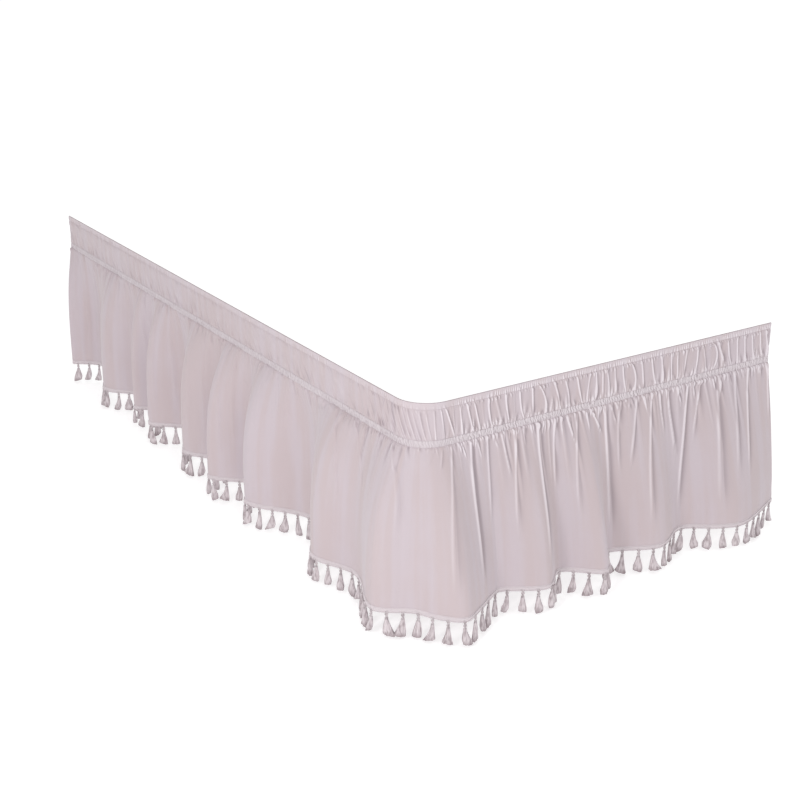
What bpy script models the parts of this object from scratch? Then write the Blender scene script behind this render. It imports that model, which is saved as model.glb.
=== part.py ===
"""Gathered bed skirt with a tasselled hem: one side and the foot, meeting at a rounded corner.

One panel of light cloth is gathered onto two elastics. The upper elastic is sewn along the top
edge, the lower one where the band ends and the skirt begins. Below it the cloth puffs out and
hangs in uneven folds down to a hem tape, from which tassels hang.

Metres, +Z up. The side runs along +Y and the foot along +X, with the bed inside the corner.
The origin is on the top edge, at the middle of the rounded corner.

Places along the skirt are given by their run: the distance along the top edge from the middle
of the corner, negative towards the side's end and positive towards the foot's end.
"""
import math
import random

import bmesh
import bpy
import numpy as np

MM = 0.001

# Top edge: both legs are measured to the point where their straight lines would meet.
SIDE_LENGTH = 1.945
FOOT_LENGTH = 1.038
CORNER_RADIUS = 0.075

# Depths below the top edge.
DROP = 0.457
UPPER_ELASTIC = (0.0005, 0.0150)
BAND_MIDDLE = 0.050
LOWER_ELASTIC = (0.0865, 0.0995)
PUFF_DEPTHS = (0.150, 0.270)
TAPE_HEIGHT = 0.011
TAPE_MARGIN = 0.002
ELASTIC_MARGIN = 0.0010

# Thicknesses, and the gap between pieces that are sewn face to face.
CLOTH = 0.0012
ELASTIC = 0.0014
TAPE = 0.0020
CLEARANCE = 0.0003

# How quickly the folds reach their full depth below the lower elastic: higher is quicker.
SIDE_PUFF = 3.5
FOOT_PUFF = 1.4

# Gathers: how far the cloth stands out between neighbouring stitches, and just below the elastic.
BAND_GATHER = (0.0012, 0.0042)
PUFF_GATHER = (0.0010, 0.0045)
CORNER_GATHER = 0.25

# Tassels: spacing along the hem, and width, depth and distance below the tape of each ring.
TASSEL_PITCH = 0.035
TASSEL_ROOT = 0.008
TASSEL_RINGS = (
    # half width, half depth, distance below the tape
    (0.0024, 0.0020, 0.0180),
    (0.0050, 0.0040, 0.0230),
    (0.0110, 0.0062, 0.0540),
)
TASSEL_SWAY = 0.0040
TASSEL_STRETCH = 0.06

SPAN_STEPS = 12
SEED = 11

FOLDS = (
    # Crests and troughs of the hem, in millimetres.
    # run: place on the top edge; lean: hem's shift along the edge towards the foot's end;
    # out: how far the hem stands out from the top edge.
    # run, lean, out
    (-1929, 73, 56),
    (-1796, 0, -10),
    (-1719, 0, -6),
    (-1582, 0, 60),
    (-1496, 0, 0),
    (-1446, 0, 0),
    (-1389, 0, 47),
    (-1344, 0, 2),
    (-1306, 0, 4),
    (-1250, 0, 62),
    (-1172, 0, -10),
    (-1109, 0, -8),
    (-1014, 0, 67),
    (-914, 0, 6),
    (-880, 0, 8),
    (-826, 0, 85),
    (-741, 0, 10),
    (-706, 0, 12),
    (-630, 0, 75),
    (-494, 0, -10),
    (-414, 0, -8),
    (-296, 0, 80),
    (-164, 0, 42),
    (-59, 25, 92),
    (-35, 13, 97),
    (0, 5, 76),
    (25, 4, 102),
    (48, -1, 129),
    (80, 0, 105),
    (149, 0, 65),
    (179, 0, 64),
    (267, 0, 107),
    (339, 0, 61),
    (424, 0, 122),
    (489, 0, 48),
    (612, 0, 94),
    (717, 0, 50),
    (804, 0, 98),
    (877, 0, 112),
    (1022, 0, 56),
)

HALF_ARC = CORNER_RADIUS * math.pi / 4
CORNER_INSET = CORNER_RADIUS * (1 - math.sqrt(0.5))


def top_edge(run):
    """Plan of the top edge at each run: the points, and the outward and onward directions."""
    turn = np.clip(run / CORNER_RADIUS + math.pi / 4, 0, math.pi / 2)
    outward = -np.stack([np.cos(turn), np.sin(turn)], axis=-1)
    onward = np.stack([np.sin(turn), -np.cos(turn)], axis=-1)
    past_arc = run - np.clip(run, -HALF_ARC, HALF_ARC)
    centre = CORNER_RADIUS - CORNER_INSET
    points = centre + CORNER_RADIUS * outward + past_arc[:, None] * onward
    return points, outward, onward


def through(knots):
    """A Catmull-Rom curve through the knots, with SPAN_STEPS points to a span."""
    padded = np.vstack([2 * knots[0] - knots[1], knots, 2 * knots[-1] - knots[-2]])
    before, start, end, after = padded[:-3], padded[1:-2], padded[2:-1], padded[3:]
    t = np.linspace(0, 1, SPAN_STEPS, endpoint=False)[None, :, None]
    start, slope = start[:, None], (end - before)[:, None] / 2
    end, next_slope = end[:, None], (after - padded[1:-2])[:, None] / 2
    curve = (
        (2 * t**3 - 3 * t**2 + 1) * start
        + (t**3 - 2 * t**2 + t) * slope
        + (3 * t**2 - 2 * t**3) * end
        + (t**3 - t**2) * next_slope
    )
    return np.vstack([curve.reshape(-1, 2), knots[-1:]])


def hem_curve():
    """The hem in plan as a close polyline, its length so far, and the run it hangs from."""
    run, lean, out = np.array(FOLDS, dtype=float).T * MM
    points, outward, onward = top_edge(run)
    knots = points + lean[:, None] * onward + out[:, None] * outward
    curve = through(knots)
    length = np.concatenate([[0], np.cumsum(np.linalg.norm(np.diff(curve, axis=0), axis=1))])
    curve_run = np.interp(length, length[::SPAN_STEPS], run)
    return curve, length, curve_run


def hem_stations():
    """Columns of the cloth, as hem points and runs, with the columns where tassels begin.

    Each tassel has a column at both sides of its root and one halfway to the next tassel.
    """
    curve, length, curve_run = hem_curve()
    count = round(length[-1] / TASSEL_PITCH)
    pitch = length[-1] / count
    first = (np.arange(count) + 0.5) * pitch - TASSEL_ROOT / 2
    between = first + (pitch + TASSEL_ROOT) / 2
    columns = np.stack([first, first + TASSEL_ROOT, between], axis=-1).ravel()[:-1]
    columns = np.concatenate([[0], columns, length[-1:]])
    hem = np.stack([np.interp(columns, length, curve[:, axis]) for axis in (0, 1)], axis=-1)
    return hem, np.interp(columns, length, curve_run), np.arange(count) * 3 + 1


def side_to_foot(run):
    """0 along the side, 1 along the foot, and a smooth change over the corner."""
    t = np.clip(run / (4 * HALF_ARC) + 0.5, 0, 1)
    return t * t * (3 - 2 * t)


def gathers(run, low_high, rng):
    """Every other column stands out by an uneven amount, and the corner is pulled smooth."""
    low, high = low_high
    size = np.array([rng.uniform(low, high) for _ in run])
    size[1::2] *= -0.4
    near_corner = np.exp(-((run / (2 * HALF_ARC)) ** 4))
    return size * (1 - (1 - CORNER_GATHER) * near_corner)


def cloth_rows(hem, run, rng):
    """Plan polylines of the cloth, each with its depth below the top edge."""
    straight, outward, _ = top_edge(run)
    stitched = LOWER_ELASTIC[1] + ELASTIC_MARGIN
    tape_top = DROP - TAPE_HEIGHT - TAPE_MARGIN
    band = straight + outward * gathers(run, BAND_GATHER, rng)[:, None]
    puff = SIDE_PUFF + (FOOT_PUFF - SIDE_PUFF) * side_to_foot(run)
    ripple = gathers(run, PUFF_GATHER, rng)
    rows = [
        (straight, 0.0),
        (straight, UPPER_ELASTIC[1] + ELASTIC_MARGIN),
        (band, BAND_MIDDLE),
        (straight, LOWER_ELASTIC[0] - ELASTIC_MARGIN),
        (straight, stitched),
    ]
    for depth, share in zip(PUFF_DEPTHS, (1.0, 0.3)):
        fall = (depth - stitched) / (tape_top - stitched)
        grown = 1 - (1 - fall) ** puff
        row = straight + (hem - straight) * grown[:, None] + outward * (share * ripple)[:, None]
        rows.append((row, depth))
    rows.append((hem, tape_top))
    rows.append((hem, DROP))
    return rows


def offset(line, distance):
    """A plan polyline moved outwards so that every stretch keeps exactly that distance."""
    onward = np.diff(line, axis=0)
    onward /= np.linalg.norm(onward, axis=1)[:, None]
    outward = np.stack([onward[:, 1], -onward[:, 0]], axis=-1)
    before = np.vstack([outward[:1], outward])
    after = np.vstack([outward, outward[-1:]])
    facing = np.maximum(1 + (before * after).sum(axis=1), 0.5)
    return line + distance * (before + after) / facing[:, None]


def wall(line, depth, distance):
    """One row of a wall's points: the plan polyline, moved outwards, at its depth."""
    plan = offset(line, distance)
    return np.column_stack([plan, np.full(len(plan), -depth)])


def new_object(name, colour, roughness):
    """An empty mesh object with its own fabric material, linked to the scene."""
    mesh = bpy.data.meshes.new(name)
    piece = bpy.data.objects.new(name, mesh)
    bpy.context.scene.collection.objects.link(piece)
    material = bpy.data.materials.new(name)
    material.use_nodes = True
    shader = material.node_tree.nodes["Principled BSDF"]
    shader.inputs["Base Color"].default_value = (*colour, 1)
    shader.inputs["Roughness"].default_value = roughness
    shader.inputs["Metallic"].default_value = 0.0
    mesh.materials.append(material)
    return piece


def closed_sheet(mesh, rows, outer, inner):
    """Fills the mesh with a wall through the rows, between two distances from their lines.

    Each side is a grid of points, and a rim of faces joins the two sides all round.
    """
    grids = [np.stack([wall(*row, side) for row in rows]) for side in (outer, inner)]
    height, width = grids[0].shape[:2]
    index = np.arange(2 * height * width).reshape(2, height, width)
    edges = [index[:, 0, :-1], index[:, :-1, -1], index[:, -1, :0:-1], index[:, :0:-1, 0]]
    loop = np.concatenate(edges, axis=1)
    front, back = index
    faces = [
        np.stack([front[:-1, :-1], front[1:, :-1], front[1:, 1:], front[:-1, 1:]], axis=-1),
        np.stack([back[:-1, :-1], back[:-1, 1:], back[1:, 1:], back[1:, :-1]], axis=-1),
        np.stack([loop[0], np.roll(loop[0], -1), np.roll(loop[1], -1), loop[1]], axis=-1),
    ]
    quads = np.concatenate([part.reshape(-1, 4) for part in faces])
    points = np.concatenate([grid.reshape(-1, 3) for grid in grids])
    mesh.from_pydata(points.tolist(), [], quads.tolist())
    mesh.shade_smooth()


def make_cloth(rows):
    """The gathered panel, from the top edge to the hem, with its two side hems."""
    cloth = new_object("skirt_cloth", (0.59, 0.52, 0.55), 0.85)
    closed_sheet(cloth.data, rows, CLOTH / 2, -CLOTH / 2)


def make_elastic(name, run, depths, colour):
    """A flat elastic outside the cloth, with bends only in the corner, at the cloth's columns."""
    in_corner = np.abs(run) < HALF_ARC
    bends = in_corner.copy()
    bends[1:] |= in_corner[:-1]
    bends[:-1] |= in_corner[1:]
    bends[[0, -1]] = True
    line = top_edge(run)[0][bends]
    inner = CLOTH / 2 + CLEARANCE
    elastic = new_object(name, colour, 0.75)
    closed_sheet(elastic.data, [(line, depth) for depth in depths], inner + ELASTIC, inner)


def grow_tassel(tape_mesh, root, onward, outward, rng):
    """Extrudes one face of the tape's lower edge down into a neck and a flared skirt of threads."""
    sway = np.array([rng.uniform(-1, 1), rng.uniform(-0.4, 1)]) * TASSEL_SWAY
    stretch = 1 + rng.uniform(-TASSEL_STRETCH, TASSEL_STRETCH)
    face = root
    middle = np.mean([corner.co for corner in root.verts], axis=0)
    total = TASSEL_RINGS[-1][2]
    for half_width, half_depth, below in TASSEL_RINGS:
        corners = [np.array(corner.co) - middle for corner in face.verts]
        signs = [(np.sign(corner @ onward), np.sign(corner @ outward)) for corner in corners]
        face = bmesh.ops.extrude_discrete_faces(tape_mesh, faces=[face])["faces"][0]
        shift = sway * (below / total) ** 2
        middle_now = middle + onward * shift[0] + outward * shift[1]
        for corner, (along, out) in zip(face.verts, signs):
            place = middle_now + onward * (along * half_width) + outward * (out * half_depth)
            corner.co = (place[0], place[1], middle[2] - below * stretch)


def make_trim(hem, tassel_columns, rng):
    """The hem tape outside the cloth, with a tassel growing from its lower edge at each root."""
    trim = new_object("tassel_trim", (0.57, 0.51, 0.53), 0.9)
    inner = CLOTH / 2 + CLEARANCE
    rows = [(hem, DROP - TAPE_HEIGHT), (hem, DROP)]
    closed_sheet(trim.data, rows, inner + TAPE, inner)
    shape = bmesh.new()
    shape.from_mesh(trim.data)
    shape.verts.ensure_lookup_table()
    columns = len(hem)
    roots = []
    for first in tassel_columns:
        # The lower edge's points are the second row of the tape's outer and inner grids.
        edge = [shape.verts[side * 2 * columns + columns + column]
                for side in (0, 1) for column in (first, first + 1)]
        roots.append(next(face for face in edge[0].link_faces if set(face.verts) == set(edge)))
    for first, root in zip(tassel_columns, roots):
        along = hem[first + 1] - hem[first]
        along /= np.linalg.norm(along)
        onward = np.array([along[0], along[1], 0.0])
        outward = np.array([along[1], -along[0], 0.0])
        grow_tassel(shape, root, onward, outward, rng)
    shape.to_mesh(trim.data)
    shape.free()
    trim.data.set_sharp_from_angle(angle=math.radians(50))


def main():
    for old in list(bpy.data.objects):
        bpy.data.objects.remove(old)
    rng = random.Random(SEED)
    hem, run, tassel_columns = hem_stations()
    make_cloth(cloth_rows(hem, run, rng))
    make_elastic("upper_elastic", run, UPPER_ELASTIC, (0.62, 0.56, 0.58))
    make_elastic("lower_elastic", run, LOWER_ELASTIC, (0.60, 0.54, 0.56))
    make_trim(hem, tassel_columns, rng)


main()
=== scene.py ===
"""Looks of the gathered bed skirt: its cloth, elastics, braid and tassels, on a plain pale floor.

Places along the skirt are given as in the model: the run is the distance along the top edge from
the middle of the rounded corner, negative on the side and positive on the foot, and the depth is
the distance below the top edge. The side runs along +Y, the foot along +X, and +Z is up.
"""

import math

import bpy
import numpy as np
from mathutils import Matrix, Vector


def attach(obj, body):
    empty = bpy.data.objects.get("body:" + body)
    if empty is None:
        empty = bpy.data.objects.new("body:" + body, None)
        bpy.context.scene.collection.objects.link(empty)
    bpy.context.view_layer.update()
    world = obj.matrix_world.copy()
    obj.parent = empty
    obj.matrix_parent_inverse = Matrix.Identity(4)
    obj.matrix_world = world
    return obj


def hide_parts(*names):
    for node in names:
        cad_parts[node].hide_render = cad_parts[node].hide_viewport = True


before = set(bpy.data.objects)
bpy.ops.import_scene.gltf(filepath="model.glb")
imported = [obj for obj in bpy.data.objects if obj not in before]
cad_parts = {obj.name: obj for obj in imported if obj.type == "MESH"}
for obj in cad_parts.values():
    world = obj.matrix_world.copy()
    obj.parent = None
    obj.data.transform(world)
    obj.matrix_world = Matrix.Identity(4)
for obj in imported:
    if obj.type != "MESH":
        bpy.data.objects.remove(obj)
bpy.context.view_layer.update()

MM = 0.001
TURN = 2 * math.pi

# The model's own sizes, repeated here because the frame holds only its solids.
CORNER_RADIUS = 0.075
DROP = 0.457
UPPER_ELASTIC = (0.0005, 0.0150)
LOWER_ELASTIC = (0.0865, 0.0995)
TAPE_HEIGHT = 0.011
TAPE_MARGIN = 0.002
ELASTIC_MARGIN = 0.0010
CLOTH = 0.0012
ELASTIC = 0.0014
CLEARANCE = 0.0003
SIDE_PUFF = 3.5
FOOT_PUFF = 1.4
TASSELS = 103

# The scene's own sizes. The ribbed elastic's soft edges reach a little past the solid's.
THIN_CLOTH = 0.0009
RIBBED = (0.0860, 0.1022)

HALF_ARC = CORNER_RADIUS * math.pi / 4
CORNER_INSET = CORNER_RADIUS * (1 - math.sqrt(0.5))
STITCHED = LOWER_ELASTIC[1] + ELASTIC_MARGIN
TAPE_TOP = DROP - TAPE_HEIGHT - TAPE_MARGIN
TAPE_MIDDLE = DROP - TAPE_HEIGHT / 2
SEAM = (LOWER_ELASTIC[0] + LOWER_ELASTIC[1]) / 2
SPAN_STEPS = 48

FOLDS = (
    # Crests and troughs of the hem, in millimetres, as in the model.
    # run; lean: the hem's shift along the edge; out: how far it stands out from the top edge
    (-1929, 73, 56), (-1796, 0, -10), (-1719, 0, -6), (-1582, 0, 60), (-1496, 0, 0),
    (-1446, 0, 0), (-1389, 0, 47), (-1344, 0, 2), (-1306, 0, 4), (-1250, 0, 62),
    (-1172, 0, -10), (-1109, 0, -8), (-1014, 0, 67), (-914, 0, 6), (-880, 0, 8),
    (-826, 0, 85), (-741, 0, 10), (-706, 0, 12), (-630, 0, 75), (-494, 0, -10),
    (-414, 0, -8), (-296, 0, 80), (-164, 0, 42), (-59, 25, 92), (-35, 13, 97),
    (0, 5, 76), (25, 4, 102), (48, -1, 129), (80, 0, 105), (149, 0, 65),
    (179, 0, 64), (267, 0, 107), (339, 0, 61), (424, 0, 122), (489, 0, 48),
    (612, 0, 94), (717, 0, 50), (804, 0, 98), (877, 0, 112), (1022, 0, 56),
)

BAND_RIDGES = (
    # Gathers between the elastics, in millimetres.
    # run at the top, run at the middle, run at the bottom, height, half width
    (32, 34, 37, 1, 1.6), (46, 52, 56, 1.3, 1.5), (57, 70, 82, 1.9, 1.8), (76, 80, 84, 0.9, 1.4),
    (93, 98, 101, 1.6, 1.6), (111, 121, 131, 2, 1.7), (130, 140, 148, 2, 1.6),
    (150, 156, 160, 0.6, 2.1), (169, 172, 182, 2.4, 1.7), (186, 197, 207, 1.3, 2.9),
    (215, 219, 227, 2.6, 1.8), (238, 240, 244, 0.6, 1.9), (253, 257, 267, 2.3, 1.7),
    (287, 290, 291, 2.2, 1.8), (306, 325, 327, 2, 1.8), (348, 361, 367, 2.2, 1.8),
    (378, 390, 396, 1.9, 1.8), (413, 421, 434, 2.4, 1.8), (452, 447, 444, 1.6, 1.6),
    (467, 471, 465, 2, 1.9), (488, 490, 491, 1.9, 1.5), (498, 508, 509, 1.7, 1.8),
    (523, 527, 528, 1.4, 1.6), (547, 552, 560, 2.1, 1.7), (571, 588, 581, 2.3, 2),
    (603, 610, 614, 2.2, 1.6), (635, 642, 653, 2.2, 1.9), (666, 671, 675, 1.9, 1.8),
    (697, 699, 701, 1.9, 1.6), (716, 718, 719, 2, 1.8), (745, 742, 736, 1.7, 1.6),
    (778, 781, 773, 2.2, 1.8), (797, 806, 812, 1.4, 2.2), (828, 846, 830, 2.4, 1.9),
    (846, 860, 875, 2.3, 2.4), (878, 884, 897, 2.2, 1.8), (908, 912, 916, 2, 1.6),
    (933, 938, 941, 1.9, 1.6), (958, 963, 970, 1.9, 1.8), (985, 990, 1001, 2.3, 1.8),
    (1005, 1014, 1019, 2.2, 2.1),
    # The side's band is pulled nearly smooth, with slanting creases that fan out at the corner.
    (-243, -228, -207, 1.1, 2.4), (-172, -158, -140, 1, 2.2), (-150, -137, -120, 1.2, 2),
    (-132, -118, -100, 0.9, 2), (-116, -101, -82, 1.3, 2.2), (-100, -86, -68, 1, 1.8),
    (-84, -70, -52, 1.3, 2), (-68, -55, -38, 1.1, 1.8), (-54, -42, -26, 1.3, 2),
    (-40, -29, -14, 1, 1.8), (-27, -17, -4, 1.2, 1.9), (-14, -6, 6, 0.9, 1.8),
    (0, 7, 17, 1.1, 1.9), (14, 20, 28, 0.9, 1.7),
)

FALL_RIDGES = (
    # Creases below the lower elastic, in millimetres.
    # depth at the start and end, run at the start and end, haste: how soon the crease reaches
    # its end run, height (a trough is negative), half width
    # The foot.
    (104, 146, 36, 14, 1, -1, 1.5), (104, 150, 49, 36, 1, 1, 1.8),
    (103, 444, 73, 40, 4, 1.7, 2.9), (104, 142, 98, 106, 1, 1.9, 1.6),
    (103, 444, 123, 105, 3, 2.8, 2.9), (112, 440, 133, 115, 3, -1.9, 4.2),
    (104, 154, 138, 148, 1, 1.7, 1.8), (103, 305, 167, 154, 1, 1.8, 2.1),
    (104, 138, 183, 192, 1, 1.5, 1.6), (104, 214, 204, 215, 1, 2.2, 2),
    (103, 350, 245, 214, 2, 2.1, 2.4), (104, 144, 263, 261, 1, 1.4, 1.6),
    (103, 126, 282, 287, 1, 1.1, 1.5), (103, 446, 304, 279, 1.6, 2.8, 2.7),
    (130, 360, 314, 296, 1.6, -1.5, 4.2), (103, 130, 321, 314, 1, 1.3, 1.6),
    (103, 280, 352, 338, 2, 1.9, 2.1), (104, 148, 369, 368, 1, 1.4, 1.7),
    (104, 174, 386, 399, 1, 2.5, 2), (103, 355, 416, 382, 2.2, 1.8, 2.2),
    (104, 152, 440, 440, 1, 1.4, 1.6), (104, 176, 455, 490, 1, 2.7, 2),
    (103, 452, 497, 497, 1, 2.8, 2.4), (104, 160, 514, 531, 1, 2, 1.8),
    (103, 285, 545, 526, 2.5, 1.7, 2), (103, 124, 552, 560, 1, 1.1, 1.5),
    (103, 128, 563, 571, 1, 1.1, 1.5), (103, 272, 594, 550, 1.1, 2.3, 2.1),
    (104, 146, 613, 618, 1, 1.7, 1.6), (103, 442, 642, 594, 2.6, 2.4, 2.4),
    (104, 214, 663, 667, 1, 2.2, 2.4), (104, 295, 689, 716, 0.5, 2.6, 2.8),
    (104, 152, 718, 732, 1, 2.6, 1.8), (103, 442, 755, 706, 1.5, 2.9, 2.4),
    (104, 144, 774, 774, 1, 2.4, 2), (103, 255, 799, 754, 1.3, 2, 2.2),
    (104, 138, 831, 834, 1, 2.4, 2), (103, 154, 861, 842, 1, 2.8, 2),
    (132, 446, 842, 806, 2, 2.2, 3.5), (103, 375, 908, 857, 1.3, 2.1, 2.9),
    (103, 376, 952, 896, 1.2, 2.6, 2.3), (104, 262, 1019, 1010, 1, 2.4, 2.8),
    (110, 446, 788, 744, 1.5, -5, 23.8), (103, 124, 868, 872, 1, 1.2, 1.5),
    (103, 124, 884, 880, 1, 1.2, 1.5), (103, 128, 917, 921, 1, 1.3, 1.5),
    (103, 126, 937, 933, 1, 1.2, 1.5), (103, 132, 967, 962, 1, 1.3, 1.6),
    (103, 128, 987, 984, 1, 1.2, 1.5),
    # The corner and the near part of the side.
    (108, 300, -62, -22, 4, 1.1, 3.2), (130, 420, -108, -48, 4, -0.8, 5),
    (150, 430, -20, -12, 1, -0.7, 5.5), (104, 270, -217, -146, 2, 1.7, 2.8),
    (104, 330, -301, -226, 3, 1.8, 2.8), (120, 320, -384, -271, 2.2, -1, 2.8),
    (110, 195, -470, -478, 1, -1, 2.2), (112, 230, -531, -528, 1, 1, 2.8),
    (110, 240, -578, -558, 3, 1.4, 2.4), (108, 260, -647, -610, 3, 1.4, 3.4),
    # The far part of the side.
    (108, 235, -753, -742, 1, 1.2, 2.9), (112, 436, -787, -768, 2.5, 1.7, 3.1),
    (108, 440, -837, -799, 3, 1.8, 3.5), (270, 436, -908, -910, 1, 1.3, 4.2),
    (108, 440, -971, -950, 2.5, 1.7, 3.1), (108, 440, -1029, -992, 3, 1.8, 3.5),
    (108, 440, -1203, -1187, 2, 1.7, 3.1), (120, 440, -1253, -1233, 2, 1.8, 3.5),
    (108, 440, -1387, -1351, 3, 1.8, 3.5), (190, 410, -1418, -1415, 1, 1.3, 4.2),
    (108, 436, -1494, -1490, 1, 1.8, 3.5), (120, 440, -1586, -1557, 2.5, 1.8, 3.5),
    (130, 436, -1774, -1793, 1, 1.9, 3.5), (140, 436, -1839, -1832, 1, 1.7, 4.2),
)

# Seeded gathers: spacing, shortest and longest reach, lowest and highest, half width.
# Then their share of height on the side and at the corner, and their slant on the side.
TUCKS = (0.0066, 0.006, 0.021, 0.0009, 0.0026, 0.0017)
DARTS = (0.0105, 0.010, 0.038, 0.0010, 0.0030, 0.0019)
LONG = (0.0240, 0.070, 0.220, 0.0006, 0.0015, 0.0034)
SIDE_CREASES = (0.0120, 0.018, 0.060, 0.0008, 0.0028, 0.0027)
SIDE_DARTS = (0.0170, 0.020, 0.080, 0.0010, 0.0028, 0.0036)
SIDE_SHARE = 0.85
CORNER_SHARE = 0.30
SIDE_SLANT = 0.45
# Further from its line than this, a gather is left out.
GATHER_BOUND = 0.060

# A ridge leans towards the foot's end by this share of its height, dips by this share past it,
# and widens on its way down by this share in 300 mm.
RIDGE_LEAN = 0.20
DIP = 0.60
WIDENING = 1.2

# Painted light on creases, a painted highlight on rising flanks and crests and painted shade on
# falling flanks and dips: for their slope, for each metre of height and of dip, the share that
# narrow troughs keep, how much more the elastics have, and what the crumpled side of the band
# has.
SLOPE_PAINTED_LIGHT = 1.10
CREST_PAINTED_HIGHLIGHT = 70
DIP_PAINTED_SHADE = 1500
TROUGH_PAINTED_SHADE = 0.22
STRIP_PAINTED_LIGHT = 1.5
CRUMPLE_PAINTED_LIGHT = 0.30

# Seeded unevenness: width and length of its patches, and its height.
CRUMPLE = (0.0110, 0.0190, 1)
CRUMPLE_HEIGHT = 0.0013
BAND_MOTTLE = (0.011, 0.035, 0.0009)
FALL_MOTTLE = (0.034, 0.160, 0.0016)
HEM_PUCKER = (0.008, 0.030, 0.0007)
ELASTIC_LUMPS = (0.0060, 0.0045, 0.0006)

# How far the cloth puffs out between and below the elastics, and reaches in under them.
BAND_PUFF = 0.0022
FALL_PUFF = 0.0026
TUCKED_UNDER = 0.0015

# Braid: length of a plait, its strands' swing, lift, half width and half thickness; then the
# spacing and depth of the thread loops.
BRAID_PITCH = 0.0096
BRAID_SWING = 0.0028
BRAID_LIFT = 0.00045
STRAND_WIDTH = 0.00165
STRAND_THICKNESS = 0.0006
LOOP_PITCH = 0.0046
LOOP_DIP = 0.0022

TASSEL_LENGTH = 0.0540
TASSEL_NECK = 0.0150
# Half width and depth at the neck, swing and half thickness of the cord's strands, its twist.
NECK_WIDTH = (0.0043, 0.0034)
CORD_WIDTH = (0.00225, 0.00140)
CORD_STRAND = (0.00225, 0.00170)
CORD_TWIST = 0.017
# How far tassels hang from their even spacing: place along the hem and shift, in millimetres.
TASSEL_SHIFTS = (
    (0, 0), (320, 3), (370, 9), (440, 3), (1750, 0), (1960, -10), (2440, -9), (2740, -7),
    (2930, -4), (3060, 2), (3110, 8), (3180, 6), (3300, 3), (3460, 5), (3610, 0),
)

FALL_CUT = -0.164
SEED = 11
SHARP_ANGLE = math.radians(60)

CAMERA_PLACE = (-1.57423, -2.33840, 1.10473)
CAMERA_PITCH = math.radians(68.711)
CAMERA_HEADING = math.radians(-33.143)
CAMERA_LENS = 65.25
FLOOR_HEIGHT = -0.520
KEY_PLACE = (-1.9, -1.0, 0.9)
KEY_TARGET = (0, 0.3, -0.25)
FILL_TURN = (math.radians(45), 0, math.radians(352))


# ------------ shapes in numpy


def smooth(x):
    """0 below 0, 1 above 1, and 3x² - 2x³ in between."""
    t = np.clip(x, 0, 1)
    return t * t * (3 - 2 * t)


def unit(vectors):
    """The same directions, each one long."""
    return vectors / np.linalg.norm(vectors, axis=-1)[..., None]


def spaced(values, shares):
    """Values so spaced that each step takes up as much of the shares as the next."""
    count = np.concatenate([[0], np.cumsum(shares)])
    return np.interp(np.linspace(0, count[-1], round(count[-1]) + 1), count, values)


def uneven(place, spacing, seed):
    """Smooth noise along a line: a random height at every spacing, joined by smooth steps."""
    heights = np.random.default_rng(seed).uniform(-1, 1, 4096)
    step = np.asarray(place) / spacing
    low = np.floor(step).astype(int)
    t = smooth(step - low)
    return heights[low % 4096] * (1 - t) + heights[(low + 1) % 4096] * t


def mottled(across, along, kind, seed):
    """Smooth noise over a surface: random heights on a lattice, joined by smooth steps."""
    width, length, height = kind
    heights = height * np.random.default_rng(seed).uniform(-1, 1, (256, 256))
    x, y = across / width, along / length
    column, row = np.floor(x).astype(int), np.floor(y).astype(int)
    tx, ty = smooth(x - column), smooth(y - row)
    near, far = (
        heights[line, column % 256] * (1 - tx) + heights[line, (column + 1) % 256] * tx
        for line in (row % 256, (row + 1) % 256))
    return near * (1 - ty) + far * ty


def top_edge(run):
    """Plan of the top edge: straight, then an arc round the corner, then straight again.

    Gives points, and the outward and onward directions there.
    """
    turn = np.clip(run / CORNER_RADIUS + math.pi / 4, 0, math.pi / 2)
    outward = -np.stack([np.cos(turn), np.sin(turn)], axis=-1)
    onward = np.stack([np.sin(turn), -np.cos(turn)], axis=-1)
    past_arc = run - np.clip(run, -HALF_ARC, HALF_ARC)
    centre = CORNER_RADIUS - CORNER_INSET
    points = centre + CORNER_RADIUS * outward + past_arc[..., None] * onward
    return points, outward, onward


def through(knots):
    """A Catmull-Rom curve: each span is a cubic whose end slopes are half its neighbours' gap."""
    padded = np.vstack([2 * knots[0] - knots[1], knots, 2 * knots[-1] - knots[-2]])
    before, start, end, after = padded[:-3], padded[1:-2], padded[2:-1], padded[3:]
    t = np.linspace(0, 1, SPAN_STEPS, endpoint=False)[None, :, None]
    start, slope = start[:, None], (end - before)[:, None] / 2
    end, next_slope = end[:, None], (after - padded[1:-2])[:, None] / 2
    curve = (
        (2 * t**3 - 3 * t**2 + 1) * start
        + (t**3 - 2 * t**2 + t) * slope
        + (3 * t**2 - 2 * t**3) * end
        + (t**3 - t**2) * next_slope
    )
    return np.vstack([curve.reshape(-1, 2), knots[-1:]])


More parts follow.
